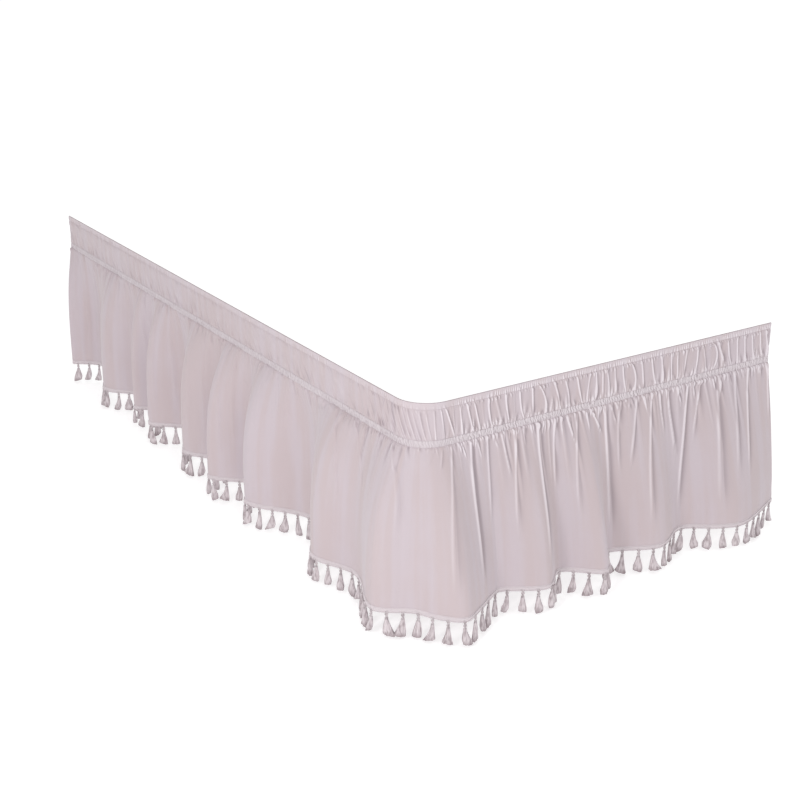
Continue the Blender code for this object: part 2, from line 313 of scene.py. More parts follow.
class Hem:
    """The hem's plan curve, and for each place along it the run that the cloth hangs from."""

    BLUR = 0.030

    def __init__(self):
        run, lean, out = np.array(FOLDS, dtype=float).T * MM
        points, outward, onward = top_edge(run)
        knots = points + lean[:, None] * onward + out[:, None] * outward
        curve = through(knots)
        steps = np.linalg.norm(np.diff(curve, axis=0), axis=1)
        length = np.concatenate([[0], np.cumsum(steps)])
        self.length = length[-1]
        self.places = np.linspace(0, self.length, round(self.length / MM) + 1)
        self.curve = np.stack([np.interp(self.places, length, curve[:, k]) for k in (0, 1)], -1)
        self.runs = self.blurred(np.interp(self.places, length[::SPAN_STEPS], run))

    def blurred(self, values):
        """A running average under a smooth hump, with straight ends, so no kink shows."""
        reach = round(self.BLUR / MM)
        weights = np.hanning(2 * reach + 3)[1:-1]
        start = values[0] - (values[reach:0:-1] - values[0])
        end = values[-1] + (values[-1] - values[-2:-reach - 2:-1])
        padded = np.concatenate([start, values, end])
        return np.convolve(padded, weights / weights.sum(), mode="valid")

    def run(self, place):
        """The run that the cloth hangs from, at a place along the hem."""
        return np.interp(place, self.places, self.runs)

    def plan(self, place):
        """The hem's points there, with the onward and outward directions."""
        slope = unit(np.gradient(self.curve, self.places, axis=0))
        points, onward = (
            np.stack([np.interp(place, self.places, field[:, k]) for k in (0, 1)], axis=-1)
            for field in (self.curve, slope)
        )
        onward = unit(onward)
        return points, onward, np.stack([onward[..., 1], -onward[..., 0]], axis=-1)

    def columns(self, side_step, foot_step):
        """Places along the hem, closer together on the foot, where the small gathers show."""
        step = side_step + (foot_step - side_step) * smooth((self.runs + 0.20) / 0.15)
        return spaced(self.places, np.diff(self.places) / step[1:])


HEM = Hem()


def run_columns(side_step, foot_step):
    """Runs along the top edge, closer together on the foot."""
    start, end = HEM.runs[0], HEM.runs[-1]
    fine = np.arange(start, end, MM)
    step = side_step + (foot_step - side_step) * smooth((fine + 0.24) / 0.12)
    return spaced(np.concatenate([fine, [end]]), MM / step)


def side_to_foot(run):
    """0 along the side, 1 along the foot, and a smooth change over the corner."""
    return smooth(run / (4 * HALF_ARC) + 0.5)


def gather_share(run):
    """How strong small gathers are: full on the foot, weaker on the side, least at the corner."""
    share = SIDE_SHARE + (1 - SIDE_SHARE) * smooth((run - 0.02) / 0.06)
    near_corner = np.exp(-(((run - 0.5 * HALF_ARC) / (1.3 * HALF_ARC)) ** 4))
    return share * (1 - near_corner) + CORNER_SHARE * near_corner


def crease_share(run):
    """The fall's creases: full on the foot, two thirds as high far along the side."""
    return 0.66 + 0.34 * smooth((run + 0.62) / 0.50)


def painted_light_share(run):
    """Painted crease light and shade: full on the foot, under half as strong far along the side.
    """
    return 0.42 + 0.58 * smooth((run + 0.28) / 0.32)


def following(run, paths, home):
    """Columns that run along the creases, so that no crease cuts across them.

    Each path is a crease's run in every row, and home is the row whose runs stay as they are. In
    other rows the columns between two paths are spread evenly between them. A path within 6 mm
    of the one before, or of an end, guides none.
    """
    first, last = np.full_like(paths[0], run[0]), np.full_like(paths[0], run[-1])
    kept = [first]
    for path in sorted(paths, key=lambda path: path[home]):
        if (path - kept[-1]).min() > 0.006 and (last - path).min() > 0.006:
            kept.append(path)
    kept = np.array([*kept, last])
    return np.array([np.interp(run, kept[:, home], row) for row in kept.T])


def painted_crease_light(relief, along):
    """Painted light on creases: slope plus height, a painted highlight on rising flanks and
    crests.

    Painted shade on falling flanks and dips. along is each column's distance along the cloth.
    """
    slope = np.gradient(relief, axis=1) / np.gradient(along, axis=1)
    height = np.where(relief > 0, CREST_PAINTED_HIGHLIGHT, DIP_PAINTED_SHADE) * relief
    return np.clip(SLOPE_PAINTED_LIGHT * slope + height, -1, 1)


def crease(away, height, half_width):
    """A soft ridge, height * exp(-(away / half width)²).

    Past a ridge the cloth dips, and comes back as exp(-away / (2.2 half widths)). A trough,
    whose height is negative, has no dip.
    """
    across = away / half_width
    ridge = np.exp(-(across**2))
    past = np.exp(-np.maximum(across, 0) / 2.2) * (1 - ridge) * (across > 0)
    return height * (ridge - DIP * (height > 0) * past)


def gathers(run, distance, kind, side_slant, seed):
    """Seeded ridges that start at a line of stitches, with distance counted from there.

    A ridge rises over its first 3 mm and fades over the last 70 % of its reach. Each has its
    own reach, height, width and slant; on the side all slant one way.
    """
    spacing, shortest, longest, lowest, highest, half_width = kind
    rng = np.random.default_rng(seed)
    starts = np.arange(HEM.runs[0], HEM.runs[-1], spacing)
    starts = starts + rng.uniform(-0.4, 0.4, len(starts)) * spacing
    total = np.zeros(run.shape)
    for start, side in zip(starts, 1 - side_to_foot(starts)):
        reach, height = rng.uniform(shortest, longest), rng.uniform(lowest, highest)
        slant = rng.uniform(-0.24, 0.24) * min(1, 0.030 / reach)
        slant += side_slant * side * rng.uniform(0.3, 1.6)
        width = half_width * rng.uniform(0.8, 1.5)
        near = np.abs(run.mean(axis=0) - start) < GATHER_BOUND + abs(slant) * reach
        far = distance[:, near]
        away = run[:, near] - start - slant * far
        fade = smooth(far / 0.003) * (1 - smooth((far - 0.3 * reach) / (0.7 * reach)))
        total[:, near] += crease(away, height, width) * fade
    return total * gather_share(run)


def normals_of(grid):
    """Unit normals of a grid, its slope down crossed with its slope onward, and the latter."""
    down, onward = np.gradient(grid, axis=0), np.gradient(grid, axis=1)
    return unit(np.cross(down, onward)), unit(onward)


def with_thickness(grid, fixed_rows):
    """The sheet's outer and inner faces, half the cloth's thickness to either side.

    The faces of the fixed rows are offset in plan, so that neighbours meet them exactly.
    """
    normal, _ = normals_of(grid)
    for row in fixed_rows:
        normal[row, :, 2] = 0
        normal[row] = unit(normal[row])
    return grid + normal * THIN_CLOTH / 2, grid - normal * THIN_CLOTH / 2


def closed_sheet(outer, inner):
    """Points and faces of a sheet: two grids, joined all round by a rim."""
    height, width = outer.shape[:2]
    index = np.arange(2 * height * width).reshape(2, height, width)
    edges = [index[:, 0, :-1], index[:, :-1, -1], index[:, -1, :0:-1], index[:, :0:-1, 0]]
    loop = np.concatenate(edges, axis=1)
    front, back = index
    faces = [
        np.stack([front[:-1, :-1], front[1:, :-1], front[1:, 1:], front[:-1, 1:]], axis=-1),
        np.stack([back[:-1, :-1], back[:-1, 1:], back[1:, 1:], back[1:, :-1]], axis=-1),
        np.stack([loop[0], np.roll(loop[0], -1), np.roll(loop[1], -1), loop[1]], axis=-1),
    ]
    points = np.concatenate([outer.reshape(-1, 3), inner.reshape(-1, 3)])
    return points, np.concatenate([part.reshape(-1, 4) for part in faces])


def closed_tubes(rings):
    """Points and faces of closed tubes, from an array (tube, ring, point round the ring, xyz).

    Neighbouring rings are joined by quads, and each end by a fan to its middle.
    """
    tubes, count, sides = rings.shape[:3]
    middles = rings[:, [0, -1]].mean(axis=2)
    points = np.concatenate([rings.reshape(tubes, -1, 3), middles], axis=1)
    index = np.arange(count * sides).reshape(count, sides)
    onward = np.roll(index, -1, axis=1)
    quads = np.stack([index[:-1], onward[:-1], onward[1:], index[1:]], axis=-1).reshape(-1, 4)
    top = np.full(sides, count * sides)
    fans = np.hstack([(top, onward[0], index[0]), (top + 1, index[-1], onward[-1])]).T
    shift = np.arange(tubes)[:, None, None] * points.shape[1]
    quads = (quads[None] + shift).reshape(-1, 4)
    triangles = (fans[None] + shift).reshape(-1, 3)
    return points.reshape(-1, 3), quads, triangles


def on_tubes(values, rings):
    """Values at the rings' points, in the order of closed_tubes.

    The middle of a tube's end takes the tube's first or last value.
    """
    size = values.shape[-1]
    values = np.broadcast_to(values, (*rings.shape[:3], size)).reshape(len(rings), -1, size)
    return np.concatenate([values, values[:, [0, -1]]], axis=1).reshape(-1, size)


def round_ring(sides):
    """Angles evenly round a ring."""
    return np.linspace(0, TURN, sides, endpoint=False)


def at_height(plan, z):
    """Plan points lifted to their heights."""
    z = np.broadcast_to(z, plan.shape[:-1])
    return np.concatenate([plan, z[..., None]], axis=-1)


def paired(first, second):
    """Two arrays spread to one shape, as the last axis of a new one."""
    return np.stack(np.broadcast_arrays(first, second), axis=-1)


# ------------ pieces


def added(name, data):
    """A new object in the scene."""
    thing = bpy.data.objects.new(name, data)
    bpy.context.scene.collection.objects.link(thing)
    return thing


def new_piece(name, points, faces, flat, finish, tint_with_painted_light=None):
    """A mesh object riding on the part's one body, with its flat pattern as its UV map.

    The last argument is painted light: a highlight on ridges (1) and shade in grooves (-1).
    """
    mesh = bpy.data.meshes.new(name)
    mesh.from_pydata(points.tolist(), [], [face for part in faces for face in part.tolist()])
    corners = np.empty(len(mesh.loops), dtype=np.int32)
    mesh.loops.foreach_get("vertex_index", corners)
    layer = mesh.uv_layers.new(name="flat")
    layer.data.foreach_set("uv", flat[corners].astype(np.float32).ravel())
    mesh.shade_smooth()
    mesh.set_sharp_from_angle(angle=SHARP_ANGLE)
    if tint_with_painted_light is not None:
        layer = mesh.attributes.new("tint_with_painted_light", "FLOAT", "POINT")
        layer.data.foreach_set("value", tint_with_painted_light.astype(np.float32))
    mesh.materials.append(finish)
    piece = added(name, mesh)
    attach(piece, "root")
    return piece


def tube_piece(name, rings, flat, finish, tint_with_painted_light=None):
    """Closed tubes, with their flat pattern and their painted light at every ring's points."""
    points, quads, triangles = closed_tubes(rings)
    if tint_with_painted_light is not None:
        tint_with_painted_light = on_tubes(tint_with_painted_light[..., None], rings).ravel()
    return new_piece(name, points, [quads, triangles], on_tubes(flat, rings), finish, tint_with_painted_light)


def sheet_piece(name, outer, inner, tint_with_painted_light, flat, finish):
    """A cloth sheet between two grids."""
    points, quads = closed_sheet(outer, inner)
    both = np.tile(flat.reshape(-1, 2), (2, 1))
    return new_piece(name, points, [quads], both, finish, np.tile(tint_with_painted_light.ravel(), 2))


def band_path(start, middle, end, across):
    """A band ridge's run: a parabola through its runs at the top, middle and bottom."""
    path = start + (4 * middle - 3 * start - end) * across
    return path + 2 * (start + end - 2 * middle) * across**2


def band_cloth(finish):
    """The gathered band: the top edge's plan, pushed out by a puff and by the relief.

    Both swell over the first 9 % of the way from one elastic to the other, and ebb over the last
    9 %. The relief is the placed ridges, the seeded gathers of both seams, and low mottled
    noise; on the side it is crumpled too.
    """
    top, bottom = UPPER_ELASTIC[1] - TUCKED_UNDER, LOWER_ELASTIC[0] + TUCKED_UNDER
    free = top + (bottom - top) * (1 + np.sin(np.linspace(-math.pi / 2, math.pi / 2, 19))) / 2
    rows = np.concatenate([[0.0, 0.008], free, [SEAM]])
    ridges = np.array(BAND_RIDGES) * MM
    across = np.clip((rows - top) / (bottom - top), 0, 1)
    paths = [band_path(*ridge[:3], across) for ridge in ridges]
    paths += [run + SIDE_SLANT * (rows - 0.05) for run in (-1.85, -0.32)]
    run = following(run_columns(0.0026, 0.00082), paths, len(rows) // 2)
    depth = np.broadcast_to(rows[:, None], run.shape)
    straight, outward, onward = top_edge(run)
    across = (depth - top) / (bottom - top)
    swell = smooth(across / 0.09) * smooth((1 - across) / 0.09)
    relief = np.zeros(run.shape)
    for start, middle, end, height, width in ridges:
        path = band_path(start, middle, end, across)
        relief += crease(run - path, height, width)
    relief += gathers(run, depth - top, TUCKS, SIDE_SLANT, SEED + 1)
    relief += gathers(run, bottom - depth, TUCKS, -SIDE_SLANT, SEED + 2)
    relief += gathers(run, bottom - depth, SIDE_CREASES, -SIDE_SLANT, SEED + 13)
    crumple = mottled(run - 0.2 * depth, depth, CRUMPLE, SEED + 15)
    crumple *= (1 - side_to_foot(run)) * swell
    # Painted highlight on crests and rising flanks, painted shade in dips, also on the crumples.
    tint_with_painted_light = painted_crease_light(relief * swell, run) * painted_light_share(run) + CRUMPLE_PAINTED_LIGHT * crumple
    relief += CRUMPLE_HEIGHT * crumple
    relief += mottled(run, depth, BAND_MOTTLE, SEED) * gather_share(run)
    relief = relief * swell
    puff = BAND_PUFF * (0.4 + 0.6 * side_to_foot(run)) * swell
    push = np.maximum(relief + puff, 0)
    plan = straight + outward * push[..., None] + onward * (RIDGE_LEAN * relief)[..., None]
    outer, inner = with_thickness(at_height(plan, -depth), (0, 1, 2, -2, -1))
    return sheet_piece("gathered_band", outer, inner, tint_with_painted_light, paired(run, -depth), finish)


def fall_surface(place, depth):
    """The cloth below the band before its creases.

    Each point is the top edge's point plus a growing share, 1 - (1 - fall)^puff, of the way
    out to the hem, where fall goes from 0 at the stitches to 1 at the tape.
    """
    run = HEM.run(place)
    hem, _, _ = HEM.plan(place)
    straight, _, _ = top_edge(run)
    fall = np.clip((depth - STITCHED) / (TAPE_TOP - STITCHED), 0, 1)
    puff = SIDE_PUFF + (FOOT_PUFF - SIDE_PUFF) * side_to_foot(run)
    grown = 1 - (1 - fall) ** puff
    plan = straight + (hem - straight) * grown[..., None]
    return at_height(plan, -depth)


def fall_path(first, last, start, end, haste, depth):
    """A crease's run, from its start run to its end run by (1 - fall)^haste, and its fall."""
    fall = np.clip((depth - first) / (last - first), 0, 1)
    return end + (start - end) * (1 - fall) ** haste, fall


def fall_relief(run, depth, stretch):
    """Height of the placed creases below the band, and their marks, which painted light follows.

    A crease rises over its first 6 mm, widens on its way down, and fades over its last 40 %.
    stretch is how much longer the hem's side of the cloth is than its run. In the marks the
    narrow troughs count for less, and the broad ones for nothing.
    """
    relief, marks = np.zeros(run.shape), np.zeros(run.shape)
    for *ends, haste, height, width in FALL_RIDGES:
        first = ends[0] * MM
        path, fall = fall_path(*(end * MM for end in ends), haste, depth)
        widening = 1 + WIDENING * (depth - first) / 0.3
        rise = smooth((depth - first + 0.001) / 0.006)
        fade = 1 - smooth((fall - 0.6) / 0.4)
        shape = crease((run - path) * stretch, height * MM, width * MM * widening) * rise * fade
        relief += shape
        marks += shape * (1 if height > 0 else TROUGH_PAINTED_SHADE * (width < 5))
    return relief, marks


def fall_cloth(finish):
    """The cloth from the lower elastic to the hem, with its folds, creases and small gathers.

    The folded surface is pushed out along its normals by the relief and by a puff under the
    stitches. Its rows are closest there. It is cut in two where the corner's fold begins.
    """
    place = HEM.columns(0.0031, 0.00135)
    free = RIBBED[1] - TUCKED_UNDER
    rows = np.concatenate([
        [SEAM, free],
        np.linspace(free + 0.0013, 0.145, 20),
        np.linspace(0.145, 0.230, 9)[1:],
        np.linspace(0.230, 0.420, 9)[1:],
        [0.430, 0.438, TAPE_TOP, DROP],
    ])
    paths = [
        fall_path(*(end * MM for end in ends), haste, rows)[0]
        for *ends, haste, _, _ in FALL_RIDGES if ends[1] - ends[0] > 120
    ]
    run = following(HEM.run(place), paths, -1)
    place = np.interp(run, HEM.runs, HEM.places)
    depth = np.broadcast_to(rows[:, None], run.shape)
    grid = fall_surface(place, depth)
    normal, onward = normals_of(grid)
    step = np.linalg.norm(np.gradient(grid, axis=1), axis=-1)
    stretch = np.clip(step / np.maximum(np.gradient(run, axis=1), 1e-5), 1, 2.5)
    below = depth - free
    relief, marks = (part * crease_share(run) for part in fall_relief(run, depth, stretch))
    small = gathers(run, below, DARTS, 0.25 * SIDE_SLANT, SEED + 3)
    small += gathers(run, below, TUCKS, 0.25 * SIDE_SLANT, SEED + 14)
    small += gathers(run, below, LONG, 0.02, SEED + 4)
    side_darts = gathers(run, below, SIDE_DARTS, 0.1, SEED + 16)
    small += side_darts * (1 - side_to_foot(run))
    hemmed = smooth((TAPE_TOP - depth) / 0.014)
    # Painted highlight on crests and rising flanks, painted shade on falling flanks and dips.
    tint_with_painted_light = painted_crease_light((marks + small) * hemmed, np.cumsum(step, axis=1)) * painted_light_share(run)
    relief += small
    relief += mottled(run, depth, FALL_MOTTLE, SEED + 5) * smooth(below / 0.04)
    pucker = mottled(place, depth, HEM_PUCKER, SEED + 6)
    relief += pucker * smooth((depth - 0.400) / 0.030)
    relief *= hemmed
    puff = FALL_PUFF * smooth(below / 0.005) * (1 - smooth(below / 0.060))
    push = relief + puff * (0.6 + 0.4 * side_to_foot(run))
    grid = grid + normal * push[..., None] + onward * (RIDGE_LEAN * relief)[..., None]
    outer, inner = with_thickness(grid, (0, 1, -2, -1))
    flat = paired(place, -depth)
    cut = int(np.searchsorted(run[-1], FALL_CUT))
    parts = {"gathered_fall_side": slice(0, cut + 1), "gathered_fall_foot": slice(cut, None)}
    return [
        sheet_piece(name, outer[:, part], inner[:, part], tint_with_painted_light[:, part], flat[:, part], finish)
        for name, part in parts.items()
    ]


def strip(name, run, depths, wave, tint, profile, relief, finish):
    """A flat elastic outside the cloth, along the top edge.

    Its front has nine points from its upper to its lower edge, at the profile's share of the
    elastic's thickness plus relief(run, height on the front). Its back is flat. wave is how
    unevenly its lower edge runs, and tint is how much paler than its grooves it is.
    """
    high = np.concatenate([np.linspace(1, -1, 9), [-0.92, 0.92]])
    out = np.concatenate([profile(high[:9]), [0, 0]])
    front = np.concatenate([[0.5], np.ones(7), [0.5, 0, 0]])
    run, high = np.meshgrid(run, high, indexing="ij")
    middle, half = -(depths[0] + depths[1]) / 2, (depths[1] - depths[0]) / 2
    bumps = front * relief(run, high)
    # Painted highlight and shade on the strip's bumps, plus its even paleness from tint.
    tint_with_painted_light = painted_crease_light(bumps.T, run.T).T * STRIP_PAINTED_LIGHT * gather_share(run)
    tint_with_painted_light = np.clip(tint_with_painted_light + tint, -1, 1)
    distance = CLOTH / 2 + CLEARANCE + ELASTIC * out + bumps
    plan, outward, _ = top_edge(run)
    wave = wave * uneven(run, 0.0052, SEED + 7) * (high < -0.9)
    rings = at_height(plan + outward * distance[..., None], middle + half * high + wave)
    return tube_piece(name, rings[None], paired(run, half * high), finish, tint_with_painted_light)


def casing_profile(high):
    """Rounded over at the top, then thinner evenly down to where the band's cloth comes out."""
    return 0.05 + 0.45 * (high + 1) * (1 - 0.45 * np.clip(high, 0, 1) ** 6)


def casing_relief(run, high):
    """A smooth casing, with small puckers and the band's ridges running out on its lower half."""
    phase = run / 0.0058 + 1.2 * uneven(run, 0.017, SEED + 8)
    pucker = np.sin(TURN * phase) * (0.6 + 0.4 * uneven(run, 0.012, SEED + 9))
    relief = 0.0008 * pucker * smooth(0.65 - 0.6 * high) * gather_share(run) + 0.0004
    for start, middle, _, height, width in np.array(BAND_RIDGES) * MM:
        away = run - start + (middle - start) * 0.25 * (high + 1)
        relief += crease(away, 0.7 * height, width) * smooth((0.35 - high) / 1.2)
    return relief


def elastic_profile(high):
    """Full in the middle and thin at both edges, where the cloth comes out."""
    return 0.05 + 0.60 * (1 - np.abs(high) ** 3)


def elastic_relief(run, high):
    """Uneven upright ribs, broken into lumps by the rubber threads that cross them.

    The ridges of the cloth above and below it run out on its two halves.
    """
    phase = run / 0.0062 + 1.3 * uneven(run, 0.015, SEED + 10)
    ribs = np.abs(np.sin(math.pi * (phase + 0.25 * np.sin(math.pi * high))))
    threads = 0.75 + 0.25 * np.cos(TURN * high)
    lumps = mottled(run, high * 0.0065, ELASTIC_LUMPS, SEED + 11)
    relief = (0.0015 * ribs * threads + lumps) * (0.7 + 0.3 * side_to_foot(run))
    for _, middle, end, height, width in np.array(BAND_RIDGES) * MM:
        away = run - end - (end - middle) * 0.12 * (1 - high)
        relief += crease(away, 0.7 * height, 0.9 * width) * smooth((high + 0.25) / 1.2)
    for first, _, start, _, _, height, width in np.array(FALL_RIDGES) * MM:
        if height > 0 and first < 0.106:
            relief += crease(run - start, 0.5 * height, 0.9 * width) * smooth((0.25 - high) / 1.2)
    return relief


def along_hem(place, out, high):
    """Rings that follow the hem, with each point that far outside the cloth's middle."""
    plan, _, outward = HEM.plan(place)
    return at_height(plan[:, None] + outward[:, None] * out[..., None], high)


def hem_strip(finish):
    """The hem tape's backing: a thin rounded bar that follows the hem outside the cloth."""
    place = HEM.columns(0.0030, 0.0024)
    high = np.array([1.0, 0.88, 0.5, 0, -0.5, -0.9, -1.0, -0.95, 0, 0.9]) * TAPE_HEIGHT / 2
    out = np.array([0.1, 0.5, 1, 1, 1, 0.8, 0.3, 0, 0, 0])
    rings = along_hem(place, THIN_CLOTH / 2 + 0.0001 + 0.0007 * out, -TAPE_MIDDLE + high)
    return tube_piece("hem_tape", rings[None], paired(place[:, None], high), finish)


def hem_braid(finish):
    """Three flat strands plaited along the hem.

    Each strand swings up and down as a sine along the hem and in and out at twice that rate,
    a third of a turn behind the one before. Its section is a flat ellipse.
    """
    place = np.linspace(0.0006, HEM.length - 0.0006, round(HEM.length / BRAID_PITCH * 7) + 1)
    ring = round_ring(6)
    middle = CLOTH / 2 + CLEARANCE + 0.0009
    strands = []
    for strand in range(3):
        turn = TURN * (place[:, None] / BRAID_PITCH + strand / 3)
        high = BRAID_SWING * np.sin(turn) + STRAND_WIDTH * np.cos(ring)
        out = middle + BRAID_LIFT * np.sin(2 * turn) + STRAND_THICKNESS * np.sin(ring)
        strands.append(along_hem(place, out, -TAPE_MIDDLE + high))
    flat = paired(place[:, None], ring / TURN)
    return tube_piece("hem_braid", np.stack(strands), flat, finish)


def braid_loops(finish):
    """Small thread loops along the tape's lower edge: a thin cord that dips at every loop."""
    place = np.linspace(0.001, HEM.length - 0.001, round(HEM.length / LOOP_PITCH * 6) + 1)
    ring = round_ring(5)
    dip = LOOP_DIP * np.abs(np.sin(math.pi * place / LOOP_PITCH)) ** 1.5
    high = -(DROP - 0.0012) - dip[:, None] + STRAND_THICKNESS * np.cos(ring)
    out = CLOTH / 2 + CLEARANCE + 0.0012 + STRAND_THICKNESS * np.sin(ring)
    flat = paired(place[:, None], ring / TURN)
    rings = along_hem(place, out, high)
    return tube_piece("braid_loops", rings[None], flat, finish)


def tassel_frames():
    """Each tassel's root on the tape's lower edge, with the onward and outward directions."""
    place = (np.arange(TASSELS) + 0.5) * HEM.length / TASSELS
    place = place + np.interp(place, *np.array(TASSEL_SHIFTS).T * MM)
    plan, onward, outward = HEM.plan(place)
    root = plan + outward * (CLOTH / 2 + CLEARANCE + 0.0010)
    flat = np.zeros((TASSELS, 1))
    return at_height(root, -DROP), np.hstack([onward, flat]), np.hstack([outward, flat])


def tassels(finish):
    """Tassels on the hem: a two-strand cord, and a soft flared skirt of yarn.

    The skirt's half width grows from the neck's to the bell's as fall^shape, where fall goes
    from 0 at the neck to 1 at the bottom; its surface is fluted by a cosine round it, its foot
    is cut aslant, and it sways as fall². Every tassel has its own width, shape, sway and cut.
    """
    rng = np.random.default_rng(SEED + 20)
    root, onward, outward = (part[:, None, None] for part in tassel_frames())

    def each(low, high):
        """A number for each tassel."""
        return rng.uniform(low, high, (TASSELS, 1, 1))

    def hung(along, out, below):
        """Points at those distances along, outside and below each tassel's root."""
        along, out, below = (part[..., None] for part in np.broadcast_arrays(along, out, below))
        return root + onward * along + outward * out - np.array([0, 0, 1]) * below

    bell, shape = each(0.0106, 0.0156), each(0.75, 1.80)
    thin, lean = each(0.42, 0.66), each(-0.0085, 0.0085)
    forward, cut = each(-0.0008, 0.0030), each(-0.45, 0.45)
    stretch, start = each(0.88, 1.02), each(0, TURN)
    bulb = each(-0.08, 0.42)

    # The last rings turn in under the skirt, to close its foot.
    fall = np.concatenate([np.linspace(0, 1, 13) ** 0.9, [1.0, 0.985, 0.94]])
    close = np.concatenate([np.ones(12), [0.955, 0.80, 0.50, 0.22]])
    fall, close = fall[:, None], close[:, None]
    ring = round_ring(28)
    ragged = rng.uniform(-1, 1, (TASSELS, 1, 28)) * 0.0007
    flute = 1 + 0.10 * smooth(fall * 2.2) * np.cos(9 * ring + start + 0.8 * fall)
    flute = flute + 0.05 * smooth(fall * 2) * np.cos(5 * ring - 2 * start)
    close = close * (1 - bulb * smooth((fall - 0.65) / 0.35))
    half_width, half_depth = (
        (neck + (wide - neck) * fall**shape) * close * flute
        for neck, wide in zip(NECK_WIDTH, (bell, bell * thin)))
    along = half_width * np.cos(ring) + lean * fall**2
    out = half_depth * np.sin(ring) + forward * fall**2
    below = TASSEL_NECK + (TASSEL_LENGTH - TASSEL_NECK) * fall * stretch
    below = below + (cut * half_width * np.cos(ring) + ragged) * smooth(fall * 1.6 - 0.5)
    tubes = [(hung(along, out, below), paired(ring / TURN, -below))]

    down = np.linspace(-0.0035, TASSEL_NECK + 0.003, 9)[:, None]
    ring = round_ring(6)
    for side in (0, math.pi):
        twist = start + side + down * TURN / CORD_TWIST
        along = CORD_WIDTH[0] * np.cos(twist) + CORD_STRAND[0] * np.cos(ring)
        out = CORD_WIDTH[1] * np.sin(twist) + CORD_STRAND[1] * np.sin(ring)
        tubes.append((hung(along, out, down), paired(ring / TURN, -down)))
    points, quads, triangles = joined([closed_tubes(rings) for rings, _ in tubes])
    flat = np.concatenate([on_tubes(flat, rings) for rings, flat in tubes])
    return new_piece("tassels", points, [quads, triangles], flat, finish)


def joined(parts):
    """Several sets of points, quads and triangles as one."""
    first = np.cumsum([0] + [len(points) for points, _, _ in parts[:-1]])
    return [
        np.concatenate([piece + start for piece, start in zip(pieces, starts)])
        for pieces, starts in zip(zip(*parts), (0 * first, first, first))]


# ------------ finishes


class Wire:
    """An output socket of a material, with arithmetic: each operator adds one Math node."""

    def __init__(self, socket):
        self.socket = socket

    def math(self, operation, *others):
        return new_node(self.socket.id_data, "ShaderNodeMath", {"operation": operation},
                        [self, *others])

    def wave(self, length):
        """The sine that repeats after that length."""
        return (self * (TURN / length)).math("SINE")

    def __add__(self, other):
        return self.math("ADD", other)

    def __mul__(self, other):
        return self.math("MULTIPLY", other)

    def __sub__(self, other):
        return self.math("SUBTRACT", other)

    def __rsub__(self, other):
        return self.math("MULTIPLY_ADD", -1.0, other)

    __radd__ = __add__
    __rmul__ = __mul__


def new_node(tree, kind, settings=(), sockets=(), output=0):
    """A new node: its settings are set first, then its sockets' values or links.

    sockets is a list, filled from the first socket on, or a dict of socket names or numbers.
    """
    node = tree.nodes.new(kind)
    for name, value in dict(settings).items():
        setattr(node, name, value)
    pairs = sockets.items() if isinstance(sockets, dict) else enumerate(sockets)
    for key, value in pairs:
        if isinstance(value, Wire):
            tree.links.new(value.socket, node.inputs[key])
        else:
            node.inputs[key].default_value = value
    return Wire(node.outputs[output])


class Finish:
    """A material under construction: its node tree, its coordinates and its shader."""

    def __init__(self, name, **shader):
        self.material = bpy.data.materials.new(name)
        self.material.use_nodes = True
        self.tree = self.material.node_tree
        self.shader = self.tree.nodes["Principled BSDF"]
        for socket, value in shader.items():
            self.shader.inputs[socket.replace("_", " ")].default_value = value

    def node(self, kind, settings=(), sockets=(), output=0):
        return new_node(self.tree, kind, settings, sockets, output)

    def place(self):
        """A point's place on the skirt, in metres."""
        return self.node("ShaderNodeTexCoord", output="Object")

    def flat(self):
        """The piece's flat pattern: along it, up it, and both."""
        uv = self.node("ShaderNodeUVMap", {"uv_map": "flat"})
        return [self.node("ShaderNodeSeparateXYZ", (), [uv], axis) for axis in ("X", "Y")], uv

    def tint_with_painted_light(self):
        """Painted light: 1 for a highlight on the piece's ridges, -1 for shade in its grooves."""
        return self.node("ShaderNodeAttribute", {"attribute_name": "tint_with_painted_light"}, (), "Fac")

    def noise(self, vector, scale, detail=2.0, roughness=0.5):
        """Soft noise from 0 to 1, with one scale or one for each axis."""
        if isinstance(scale, tuple):
            vector = self.node("ShaderNodeVectorMath", {"operation": "MULTIPLY"}, [vector, scale])
            scale = 1.0
        return self.node("ShaderNodeTexNoise", (), {
            "Vector": vector, "Scale": scale, "Detail": detail, "Roughness": roughness})

    def mixed(self, share, first, second):
        """The first colour, with that share of the second in it."""
        return self.node("ShaderNodeMix", {"data_type": "RGBA"}, {
            "Factor": share, 6: first, 7: second}, 2)

    def ramp(self, value, low, high):
        """0 below low, 1 above high."""
        return self.node("ShaderNodeMapRange", {"interpolation_type": "SMOOTHSTEP"}, {
            "Value": value, "From Min": low, "From Max": high})

    def bump(self, height, distance, strength=1.0):
        return self.node("ShaderNodeBump", (), {
            "Height": height, "Distance": distance, "Strength": strength})

    def connect(self, **wires):
        """Feeds the shader, and gives the finished material."""
        for socket, wire in wires.items():
            self.tree.links.new(wire.socket, self.shader.inputs[socket.replace("_", " ")])
        return self.material


